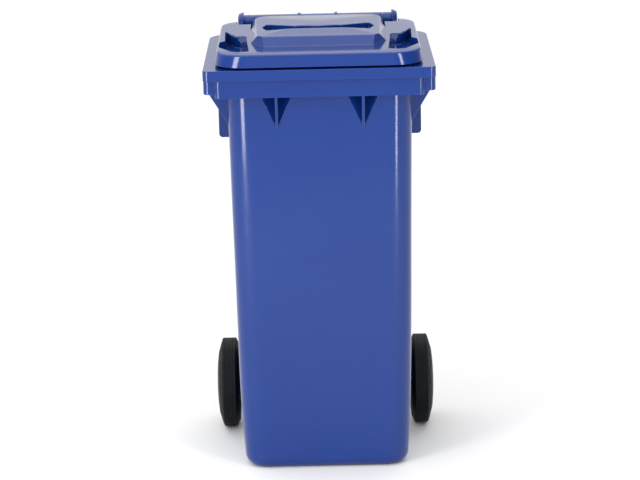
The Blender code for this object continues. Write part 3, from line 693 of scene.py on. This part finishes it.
def lid_dome(name, thickness):
    """The lid's outer form, or its inner form when a thickness is taken off."""
    edge = LID_EDGE_TOP - thickness
    layers = [(LID_LOW - 0.010, 0.0)] if thickness else [(LID_LOW, LID_FOOT), (LID_LOW + LID_FOOT, 0.0)]
    for down, inwards in rounding(6, 84):
        layers.append((edge - LID_ROUNDING * down, LID_DRAFT + LID_ROUNDING * inwards))
    layers.append((edge + LID_RISE, 0.030))
    base = stacked(name, [(height, lid_outline(height, thickness + distance)) for height, distance in layers])
    foot, shoulder = plateau_foot(thickness), plateau_edge(thickness)
    low, high = LID_EDGE_TOP + 0.0008 - thickness, PLATEAU_TOP - thickness
    rings = [(low - 0.004, blended(foot, shoulder, -0.16))]
    for share in (-0.16, -0.08, 0.0, 0.08, 0.16, 0.5, 0.84, 0.9, 0.96, 1.02, 1.09, 1.16):
        rings.append((low + (high - low) * ramp(share), blended(foot, shoulder, share)))
    top = rings[-1][1]
    for share in (0.95, 0.88, 0.8, 0.7, 0.6, 0.5, 0.4, 0.3, 0.2, 0.1):
        rings.append((high + crown(share), scaled(top, share)))
    return join(base, stacked(name + "_plateau", rings))


def lipped(name, outline, floor, surface, lip=LIP, floor_edge=0.0012, taper=1.0):
    """A cutter with a flared mouth that follows a surface's height, given as a number or a function.

    The taper is the size of its floor as a share of its mouth.
    """
    def height_at(point):
        return surface(point) if callable(surface) else surface

    rings = []
    for height, distance in edged(floor, floor + 0.003, floor_edge)[:-1]:
        rings.append([(x, y, height) for x, y in scaled(inset(outline, distance), taper)])
    for down, outwards in rounding(4):
        moved = inset(outline, -lip * outwards)
        rings.append([(*m, height_at(point) - lip * down) for m, point in zip(moved, outline)])
    rings.append([(*point[:2], FAR_ABOVE) for point in rings[-1]])
    return lofted(name, rings)


def skin(name, outline, floor):
    """The material kept below and round a recess in the lid, as a cutter for the lid's hollow."""
    return stacked(name, [(height, outline) for height in (floor - LID_WALL, FAR_ABOVE)])


def pocket_outline(side, grow=0.0):
    """The star-shaped hollow in a front corner of the lid."""
    points = [
        (0.201, behind(0.324), 0.002), (0.186, behind(0.264), 0.006),
        *[(x, y, 0.0) for x, y in arc((0.158, behind(0.2505)), 0.022, 0, -90, 8)],
        (0.154, behind(0.228), 0.001), (0.144, behind(0.040), 0.003), (0.166, behind(0.037), 0.010),
        (0.181, behind(0.046), 0.010), (0.192, behind(0.074), 0.005), (0.198, behind(0.086), 0.003),
        (0.2095, behind(0.116), 0.002), (0.2085, behind(0.176), 0.004), (0.197, behind(0.188), 0.003),
    ]
    outline = inset(filleted(points, 0.003), grow)
    return [(side * x, y) for x, y in outline][::side]


def slot_outline():
    right = [(0.0, behind(0.189), 0.0), (0.055, behind(0.188), 0.0), (0.108, behind(0.185), 0.004)]
    right += [(0.1195, behind(0.231), 0.005), (0.110, behind(0.268), 0.004)]
    right += [(0.055, behind(0.222), 0.05), (0.0, behind(0.210), 0.0)]
    left = [(-x, y, radius) for x, y, radius in reversed(right[1:-1])]
    return filleted(right + left)


def shelf_outline(grow=0.0):
    half, start, end = SHELF_HALF_WIDTH + grow, behind(SHELF_BEHIND - grow), behind(FAR_BEHIND)
    return filleted([(-half, start, 0.006), (half, start, 0.006), (half, end, 0.0), (-half, end, 0.0)])


def trench_outline(side, grow=0.0):
    inner, outer = 0.1380 - grow, 0.1465 + grow
    low_x, high_x = sorted((side * inner, side * outer))
    corners = box_outline((low_x, behind(0.321 - grow)), (high_x, behind(0.410)))
    return filleted([(*corner, 0.002) for corner in corners])


def lid_arm(name, side):
    """The arm from the rear shelf to the hinge pin, with its eye."""
    profile = [(behind(0.425), LID_LOW + 0.0001), (behind(0.480), LID_LOW + 0.0001)]
    profile += arc(HINGE_AT, EYE_RADIUS, -100, 215, 32)
    profile += [(behind(0.425), SHELF_TOP)]
    return plate(name, profile, side * EYE_INSIDE, side * EYE_OUTSIDE, edge=0.0012)


def lid_post(name, side):
    """The post under the lid that lands on a buffer."""
    centre = (side * (BUFFER_LOW.x + BUFFER_HIGH.x) / 2, (BUFFER_LOW.y + BUFFER_HIGH.y) / 2)
    return upright(name, centre, 0.0055, LID_LOW + 0.0001, LID_EDGE_TOP - 0.002)


def pocket_chamfer(name, side, grow=0.0):
    """The slope from the top of the pocket's rear wall up to the lid's surface."""
    inner, outer = 0.1555 - grow, 0.1700 + grow
    points = [
        (side * x, y, z)
        for x in (inner, outer)
        for y, z in (
            (behind(0.2265), 0.9030 - grow),
            (behind(0.2285 + grow), 0.9030 - grow),
            (behind(0.2400 + grow), WING_TOP + 0.0005),
            (behind(0.2400 + grow), 0.940),
            (behind(0.2265), 0.940),
        )
    ]
    return hull(name, points)


def make_lid(plastic):
    lid = lid_dome("lid_shell", 0.0)
    hollow = lid_dome("lid_hollow", LID_WALL)
    cut(
        hollow,
        skin("shelf_skin", shelf_outline(LID_WALL), SHELF_TOP),
        skin("slot_skin", inset(slot_outline(), -LID_WALL), SLOT_FLOOR),
    )
    for hand, side in SIDES:
        cut(
            hollow,
            skin("pocket_skin_" + hand, pocket_outline(side, -LID_WALL), POCKET_FLOOR),
            pocket_chamfer("chamfer_skin_" + hand, side, LID_WALL),
            skin("trench_skin_" + hand, trench_outline(side, LID_WALL), TRENCH_FLOOR),
        )
    cut(
        lid,
        hollow,
        lipped("slot", slot_outline(), SLOT_FLOOR, plateau_height),
        lipped("shelf", shelf_outline(), SHELF_TOP, WING_TOP),
    )
    for hand, side in SIDES:
        cut(
            lid,
            lipped("pocket_" + hand, pocket_outline(side), POCKET_FLOOR, WING_TOP - 0.0008, taper=0.95),
            pocket_chamfer("chamfer_" + hand, side),
            lipped("trench_" + hand, trench_outline(side), TRENCH_FLOOR, WING_TOP, lip=0.001),
        )
    for hand, side in SIDES:
        join(lid, lid_arm("lid_arm_" + hand, side), lid_post("lid_post_" + hand, side))
    bore = PIN_RADIUS + GAP
    cut(lid, turned("lid_bore", [(-0.180, bore), (0.180, bore)], HINGE_AT, 48))
    return placed(lid, "lid", "lid_plastic", plastic, "lid")


def make_hinge_pin(hand, side, plastic):
    """A pin with a wide chamfered head, pushed in from the outside."""
    head = EYE_OUTSIDE + GAP
    shank = [(PIN_INNER_END, PIN_RADIUS - 0.0015), (PIN_INNER_END + 0.0015, PIN_RADIUS), (head, PIN_RADIUS)]
    rim = [(head, PIN_HEAD_RADIUS), (head + 0.0030, PIN_HEAD_RADIUS)]
    rim += [(PIN_HEAD_END - 0.002, PIN_HEAD_RADIUS - 0.004), (PIN_HEAD_END, PIN_HEAD_RADIUS - 0.009)]
    dish = [(PIN_HEAD_END - 0.0012, 0.0100), (PIN_HEAD_END - 0.0012, 0.0020)]
    profile = filleted(shank + rim + dish, 0.0007, 3, closed=False)
    pin = turned("pin_" + hand, [(side * x, radius) for x, radius in profile], HINGE_AT, 72)
    return placed(pin, "bin_body", "pin_plastic", plastic, "hinge_pin_" + hand)


def make_buffer(hand, rubber):
    """A rubber stop with a waist above its foot and a domed top."""
    foot = [(0.0, 0.0008), (0.0005, 0.0), (0.0010, 0.0), (0.0013, 0.0009)]
    top = [(0.0012, 0.0012), (0.0004, 0.0016), (0.0, 0.0026)]
    buffer = filling("stop_" + hand, "lid_buffer_" + hand, foot, top)
    return placed(buffer, "bin_body", "buffer_rubber", rubber, "lid_buffer_" + hand)


# The running gear

def make_axle(steel):
    inner, outer = GROOVE_X - GROOVE_HALF_WIDTH, GROOVE_X + GROOVE_HALF_WIDTH
    half = [(inner, AXLE_RADIUS), (inner + 0.0006, GROOVE_RADIUS)]
    half += [(outer - 0.0006, GROOVE_RADIUS), (outer, AXLE_RADIUS)]
    half += [(AXLE_HALF_LENGTH - 0.0015, AXLE_RADIUS), (AXLE_HALF_LENGTH, AXLE_RADIUS - 0.0015)]
    profile = [(-x, radius) for x, radius in reversed(half)] + half
    axle = turned("axle_bar", filleted(profile, 0.0004, 2, closed=False), AXLE_AT, 64)
    return placed(axle, "bin_body", "axle_steel", steel, "axle")


def make_spacer(hand, side, plastic):
    inner, outer = WEB_PLACES[1][1] + GAP, WHEEL_INNER_X - GAP
    bore, radius = AXLE_RADIUS + GAP, 0.015
    middle = (inner + outer) / 2
    corners = [(inner, bore), (inner, radius), (middle - 0.004, radius), (middle - 0.003, radius - 0.0012)]
    corners += [(middle + 0.003, radius - 0.0012), (middle + 0.004, radius), (outer, radius), (outer, bore)]
    profile = filleted([(side * x, r) for x, r in corners], 0.0007, 3)
    spacer = turned("spacer_" + hand, profile + profile[:1], AXLE_AT, 64)
    return placed(spacer, "bin_body", "wheel_plastic", plastic, "axle_spacer_" + hand)


def wheel_profile(side, pairs):
    """Turned pairs measured outwards from the wheel's inner face."""
    return [(side * (WHEEL_INNER_X + pair[0]), *pair[1:]) for pair in pairs]


def wheel_turned(name, side, *pairs):
    return turned(name, wheel_profile(side, pairs), AXLE_AT, 64)


def make_tyre(hand, side, rubber):
    """Solid rubber, with shallow grooves round the tread and moulded rings on its flanks."""
    corners = [(0.0030, TYRE_BORE_RADIUS, 0.0004), (0.0010, 0.079, 0.0008), (0.0010, 0.084, 0.0015)]
    corners += [(0.0075, WHEEL_RADIUS - 0.0018, 0.002), (0.0095, WHEEL_RADIUS, 0.002)]
    for centre in (0.0150, 0.0205, 0.0260, 0.0315):
        corners += [(centre - 0.0010, WHEEL_RADIUS, 0.0004), (centre - 0.0005, WHEEL_RADIUS - 0.0009, 0.0003)]
        corners += [(centre + 0.0005, WHEEL_RADIUS - 0.0009, 0.0003), (centre + 0.0010, WHEEL_RADIUS, 0.0004)]
    corners += [(0.0365, WHEEL_RADIUS, 0.002), (0.0385, WHEEL_RADIUS - 0.0018, 0.002)]
    corners += [(0.0418, 0.0885, 0.0005), (0.0412, 0.0878, 0.0003), (0.0419, 0.0862, 0.0003)]
    corners += [(0.0428, 0.0856, 0.0005), (0.0454, TYRE_BORE_RADIUS, 0.0006)]
    profile = filleted(wheel_profile(side, corners), steps=3)
    tyre = turned("tyre_ring_" + hand, profile + profile[:1], AXLE_AT, 128)
    return placed(tyre, "wheel_" + hand, "tyre_rubber", rubber, "tyre_" + hand)


def make_hub(hand, side, plastic):
    """The wheel's plastic centre: a domed face, a tube on the axle, spokes and a boss for the lock pin."""
    rim = TYRE_BORE_RADIUS - GAP
    thickness = 0.0045
    outside = [(0.0050, rim, 0.0006), (0.0456, rim, 0.0006), (0.0476, 0.0690, 0.0010)]
    outside += [(0.0468, 0.0680, 0.0005), (0.0471, 0.0660, 0.0005), (0.0482, 0.0652, 0.0010)]
    outside += [(0.0500, 0.048, 0.020), (0.0508, 0.036, 0.0), (0.0510, CAP_RADIUS - 0.002, 0.0)]
    inside = [(0.0465, CAP_RADIUS - 0.002, 0.0), (0.0463, 0.036, 0.0), (0.0455, 0.048, 0.0)]
    inside += [(0.0436, 0.064, 0.0), (0.0420, rim - thickness, 0.003), (0.0050, rim - thickness, 0.0006)]
    profile = filleted(wheel_profile(side, outside + inside))
    hub = turned("hub_" + hand, profile + profile[:1], AXLE_AT, ROUND_STEPS)
    tube_pairs = [(0.0, HUB_TUBE_RADIUS - 0.0010), (0.0010, HUB_TUBE_RADIUS), (0.0405, HUB_TUBE_RADIUS)]
    tube = wheel_turned("tube_" + hand, side, *tube_pairs)
    spokes = []
    web = [(-0.0155, 0.012), (0.0175, 0.012), (0.0175, rim - SUNK), (-0.020, rim - SUNK)]
    for index in range(SPOKES):
        spoke = prism(f"spoke_{hand}_{index}", web, -0.002, 0.002, 0.0006, 0.0006)
        spoke.data.transform(Matrix.Rotation(math.radians(30 + 360 * index / SPOKES), 4, "X"))
        spoke.data.transform(Matrix.Diagonal((side, 1, 1, 1)))
        if side < 0:
            spoke.data.flip_normals()
        spoke.data.transform(Matrix.Translation((side * (WHEEL_INNER_X + 0.0275), AXLE_Y, AXLE_Z)))
        spokes.append(spoke)
    lock = (side * GROOVE_X, AXLE_Y)
    boss = upright("boss_" + hand, lock, 0.0062, AXLE_Z + 0.013, AXLE_Z + LOCK_BORE_TOP + 0.003, 0.001)
    join(hub, tube, *spokes, boss)
    bore, seat = AXLE_RADIUS + GAP, CAP_RADIUS + GAP
    cut(
        hub,
        wheel_turned("bore", side, (-0.005, bore), (0.0450, bore)),
        upright("lock_bore", lock, LOCK_PIN_RADIUS + GAP, AXLE_Z + 0.005, AXLE_Z + LOCK_BORE_TOP),
        wheel_turned("cap_seat", side, (0.0442, seat), (0.0600, seat)),
    )
    return placed(hub, "wheel_" + hand, "wheel_plastic", plastic, "wheel_hub_" + hand)


def make_cap(hand, side, plastic):
    """The cap that closes the middle of the wheel, with a shallow dish and a low button."""
    edge = [(0.0445, CAP_RADIUS - 0.0035), (0.0445, CAP_RADIUS - 0.0005), (0.0455, CAP_RADIUS)]
    edge += [(0.0500, CAP_RADIUS), (0.0510, CAP_RADIUS - 0.0022), (0.0498, CAP_RADIUS - 0.0045)]
    button = [(0.0495, 0.0100), (0.0504, 0.0090), (0.0507, 0.0012)]
    profile = filleted(wheel_profile(side, edge + button), 0.0006, 3, closed=False)
    cap = turned("cap_" + hand, profile, AXLE_AT, 72)
    return placed(cap, "wheel_" + hand, "wheel_plastic", plastic, "hub_cap_" + hand)


def make_lock_pin(hand, steel):
    tip = [(0.0, 0.0012), (0.0003, 0.0006), (0.0010, 0.0001), (0.0016, 0.0)]
    end = [(0.0010, 0.0), (0.0004, 0.0002), (0.0, 0.0008)]
    pin = filling("lock_" + hand, "lock_pin_" + hand, tip, end)
    return placed(pin, "lock_" + hand, "lock_steel", steel, "lock_pin_" + hand)


def make_lock_spring(hand, steel):
    """A small compression coil between the lock pin and the end of its bore."""
    low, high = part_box("lock_spring_" + hand)
    wire, turns, steps, corners = 0.0004, 4, 24, 12
    centre = (low + high) / 2
    radius = (high.y - low.y) / 2 - wire
    count = turns * steps + 1
    bottom, top = low.z + wire, high.z - wire
    angles = [math.radians(360 * corner / corners) for corner in range(corners)]
    rings = []
    for index in range(count):
        turn = 2 * math.pi * index / steps
        height = bottom + (top - bottom) * index / (count - 1)
        out = Vector((math.cos(turn), math.sin(turn), 0))
        middle = Vector((centre.x, centre.y, height)) + out * radius
        rings.append([middle + wire * (out * math.cos(a) + Vector((0, 0, math.sin(a)))) for a in angles])
    spring = lofted("coil_" + hand, rings)
    placed(spring, "wheel_" + hand, "lock_steel", steel, "lock_spring_" + hand)
    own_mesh(spring)
    return spring


# Materials

def coloured(value):
    """A colour with its alpha; anything else stays as it is."""
    return (*value, 1.0) if isinstance(value, tuple) else value


class Nodes:
    """The node tree of a material or a world, with short calls for the nodes that they share."""

    def __init__(self, owner, shader="Principled BSDF", coordinates="Object"):
        owner.use_nodes = True
        self.owner = owner
        self.tree = owner.node_tree
        self.shader = self.tree.nodes[shader]
        self.place = self.add("ShaderNodeTexCoord", {}).outputs[coordinates]

    def put(self, target, value):
        """Gives an input a value, or links it to a socket."""
        if isinstance(value, bpy.types.NodeSocket):
            self.tree.links.new(value, target)
        else:
            target.default_value = value

    def add(self, kind, inputs, **settings):
        node = self.tree.nodes.new(kind)
        for name, value in settings.items():
            setattr(node, name, value)
        for name, value in inputs.items():
            self.put(node.inputs[name], value)
        return node

    def noise(self, scale, detail=2.0, roughness=0.5, stretch=(1, 1, 1)):
        """A noise value at a scale, drawn out along an axis where stretch is small."""
        place = self.add("ShaderNodeMapping", {"Vector": self.place, "Scale": stretch}).outputs["Vector"]
        inputs = {"Vector": place, "Scale": scale, "Detail": detail, "Roughness": roughness}
        return self.add("ShaderNodeTexNoise", inputs).outputs["Fac"]

    def spread(self, source, low, high, to_low=0.0, to_high=1.0, **settings):
        """Maps low to high onto another range, held at its ends."""
        inputs = {"Value": source, "From Min": low, "From Max": high, "To Min": to_low, "To Max": to_high}
        return self.add("ShaderNodeMapRange", inputs, **settings).outputs["Result"]

    def math(self, operation, first, second):
        return self.add("ShaderNodeMath", {0: first, 1: second}, operation=operation).outputs["Value"]

    def mix(self, share, first, second):
        """Two colours mixed by a share; either may be a colour or a socket."""
        inputs = {"Factor": share, 6: coloured(first), 7: coloured(second)}
        return self.add("ShaderNodeMix", inputs, data_type="RGBA").outputs[2]

    def bumps(self, *layers, edge):
        """Bump layers of (height source, depth in metres) on rounded edges, joined to the shader."""
        normal = self.add("ShaderNodeBevel", {"Radius": edge}, samples=6).outputs["Normal"]
        for height, depth in layers:
            bump = self.add("ShaderNodeBump", {"Height": height, "Distance": depth, "Normal": normal})
            normal = bump.outputs["Normal"]
        self.put(self.shader.inputs["Normal"], normal)

    def set(self, **values):
        """Sets the shader's inputs by name."""
        for name, value in values.items():
            title = name.replace("_", " ").title().replace("Ior", "IOR")
            self.put(self.shader.inputs[title], coloured(value))


def new_finish(name):
    return Nodes(bpy.data.materials.new(name))


def blue_plastic(name, seed):
    """Glossy moulded polythene: faint clouds of colour, fine grain and a few rubbed scratches."""
    nodes = new_finish(name)
    deep, full, pale = (0.0021, 0.0220, 0.146), (0.0026, 0.0256, 0.161), (0.012, 0.045, 0.21)
    cloud = nodes.noise(4.0 + seed, 3.0)
    pigment = nodes.noise(700.0, 1.0)
    cloudy, grainy = nodes.spread(cloud, 0.3, 0.7, 0.0, 0.75), nodes.spread(pigment, 0.3, 0.7, 0.0, 0.25)
    colour = nodes.mix(nodes.math("ADD", cloudy, grainy), deep, full)
    scratch = nodes.noise(260.0, 2.0, 0.6, (1.0, 1.0, 0.03))
    rubbed = nodes.noise(9.0 + seed, 4.0, 0.6)
    lines, areas = nodes.spread(scratch, 0.70, 0.76), nodes.spread(rubbed, 0.52, 0.66, 0.0, 0.5)
    scuffs = nodes.math("MULTIPLY", lines, areas)
    plain = nodes.spread(nodes.noise(30.0, 3.0), 0.3, 0.7, 0.11, 0.15)
    roughness = nodes.math("ADD", plain, nodes.math("MULTIPLY", scuffs, 0.25))
    nodes.set(base_color=nodes.mix(scuffs, colour, pale), roughness=roughness, ior=1.45)
    grain, wave = nodes.noise(420.0, 2.0, 0.6), nodes.noise(14.0, 1.0)
    nodes.bumps((grain, 0.00001), (wave, 0.0003), (scratch, 0.00001), edge=0.0008)
    return nodes.owner


def black_plastic():
    nodes = new_finish("black_moulded_plastic")
    tone = nodes.spread(nodes.noise(24.0, 4.0), 0.3, 0.7)
    colour = nodes.mix(tone, (0.0030, 0.0036, 0.0042), (0.0052, 0.0058, 0.0064))
    roughness = nodes.spread(nodes.noise(60.0, 3.0), 0.3, 0.7, 0.38, 0.52)
    nodes.set(base_color=colour, roughness=roughness, ior=1.32)
    nodes.bumps((nodes.noise(900.0, 2.0, 0.6), 0.00004), (nodes.noise(40.0, 1.0), 0.0002), edge=0.0006)
    return nodes.owner


def tyre_rubber():
    nodes = new_finish("solid_rubber")
    dust = nodes.spread(nodes.noise(45.0, 5.0, 0.65), 0.45, 0.75, 0.0, 0.6)
    colour = nodes.mix(dust, (0.0030, 0.0040, 0.0050), (0.0085, 0.0095, 0.0105))
    roughness = nodes.spread(nodes.noise(90.0, 4.0), 0.3, 0.7, 0.58, 0.76)
    nodes.set(base_color=colour, roughness=roughness, ior=1.26)
    nodes.bumps((nodes.noise(1100.0, 3.0, 0.7), 0.00008), (nodes.noise(70.0, 2.0), 0.00015), edge=0.0005)
    return nodes.owner


def buffer_rubber():
    nodes = new_finish("soft_black_rubber")
    tone = nodes.spread(nodes.noise(160.0, 3.0), 0.35, 0.65)
    nodes.set(base_color=nodes.mix(tone, (0.010, 0.010, 0.011), (0.022, 0.022, 0.023)), roughness=0.7)
    nodes.bumps((nodes.noise(1500.0, 2.0), 0.00004), edge=0.0003)
    return nodes.owner


def zinc_steel(name, stretch):
    """Zinc-plated steel with drawing lines along the bar and cloudy plating."""
    nodes = new_finish(name)
    cloud = nodes.spread(nodes.noise(60.0, 4.0, 0.6), 0.35, 0.65)
    lines = nodes.noise(900.0, 2.0, 0.6, stretch)
    colour = nodes.mix(cloud, (0.50, 0.51, 0.53), (0.68, 0.69, 0.70))
    colour = nodes.mix(nodes.spread(lines, 0.62, 0.80, 0.0, 0.5), colour, (0.30, 0.30, 0.31))
    nodes.set(base_color=colour, metallic=1.0, roughness=nodes.spread(cloud, 0.0, 1.0, 0.26, 0.42))
    nodes.bumps((lines, 0.00003), (cloud, 0.00002), edge=0.0003)
    return nodes.owner


# The stage: floor, surroundings, lights and camera

def pale_floor():
    nodes = new_finish("pale_floor")
    tone = nodes.spread(nodes.noise(1.5, 3.0), 0.3, 0.7)
    nodes.set(base_color=nodes.mix(tone, (0.63, 0.63, 0.633), (0.65, 0.65, 0.65)), roughness=0.9)
    edit = bmesh.new()
    bmesh.ops.create_circle(edit, cap_ends=True, segments=96, radius=400.0)
    floor = finished("studio_floor", edit)
    floor.data.materials.append(nodes.owner)


def surroundings():
    """A white studio: brightest above and behind, darker to the right."""
    nodes = Nodes(bpy.data.worlds.new("studio"), "Background", "Generated")
    split = nodes.add("ShaderNodeSeparateXYZ", {"Vector": nodes.place})

    def share(axis, *ranges):
        return nodes.spread(split.outputs[axis], *ranges, interpolation_type="SMOOTHSTEP")

    back, right = share("Y", 0.0, 0.8, 0.62, 0.86), share("X", 0.25, 0.75, 1.0, 0.45)
    above = share("Z", 0.30, 0.85, 1.0, 3.4)
    strength = nodes.math("MULTIPLY", nodes.math("MULTIPLY", back, right), above)
    nodes.set(strength=strength, color=(1.0, 1.0, 1.0))
    bpy.context.scene.world = nodes.owner


def strip_light(name, azimuth, distance, width, height, radiance):
    """An upright softbox on the floor that faces the bin, at an angle to the right of straight ahead."""
    turn = math.radians(azimuth)
    light = bpy.data.lights.new(name, "AREA")
    light.shape = "RECTANGLE"
    light.size, light.size_y = width, height
    light.energy = radiance * math.pi * width * height
    lamp = linked(name, light)
    lamp.location = (distance * math.sin(turn), -distance * math.cos(turn), height / 2)
    lamp.rotation_euler = (math.radians(90), 0.0, turn)


def make_camera():
    data = bpy.data.cameras.new("camera")
    data.lens = 145.3
    data.sensor_width = 36.0
    data.clip_end = 1000.0
    camera = linked("camera", data)
    camera.location = (-0.008, -5.500, 1.784)
    camera.rotation_euler = (math.radians(90 - 13.6), 0.0, math.radians(-0.025))
    camera.rotation_euler.rotate_axis("Z", math.radians(-1.25))
    bpy.context.scene.camera = camera


def main():
    finishes = {
        "body": blue_plastic("blue_body_plastic", 0.0),
        "lid": blue_plastic("blue_lid_plastic", 1.7),
        "pin": blue_plastic("blue_pin_plastic", 3.1),
        "wheel": black_plastic(),
        "tyre": tyre_rubber(),
        "buffer": buffer_rubber(),
        "axle": zinc_steel("zinc_plated_axle", (0.03, 1.0, 1.0)),
        "lock": zinc_steel("zinc_plated_pin", (1.0, 1.0, 0.1)),
    }
    make_body(finishes["body"])
    make_lid(finishes["lid"])
    make_axle(finishes["axle"])
    for hand, side in SIDES:
        make_hinge_pin(hand, side, finishes["pin"])
        make_buffer(hand, finishes["buffer"])
        make_spacer(hand, side, finishes["wheel"])
        make_tyre(hand, side, finishes["tyre"])
        make_hub(hand, side, finishes["wheel"])
        make_cap(hand, side, finishes["wheel"])
        make_lock_pin(hand, finishes["lock"])
        make_lock_spring(hand, finishes["lock"])
    pale_floor()
    surroundings()
    strip_light("strip_left", -41.0, 3.0, 0.80, 2.2, 14.0)
    strip_light("strip_right", 37.0, 2.6, 0.36, 2.2, 14.0)
    make_camera()
    bpy.context.scene.view_settings.view_transform = "Standard"


main()
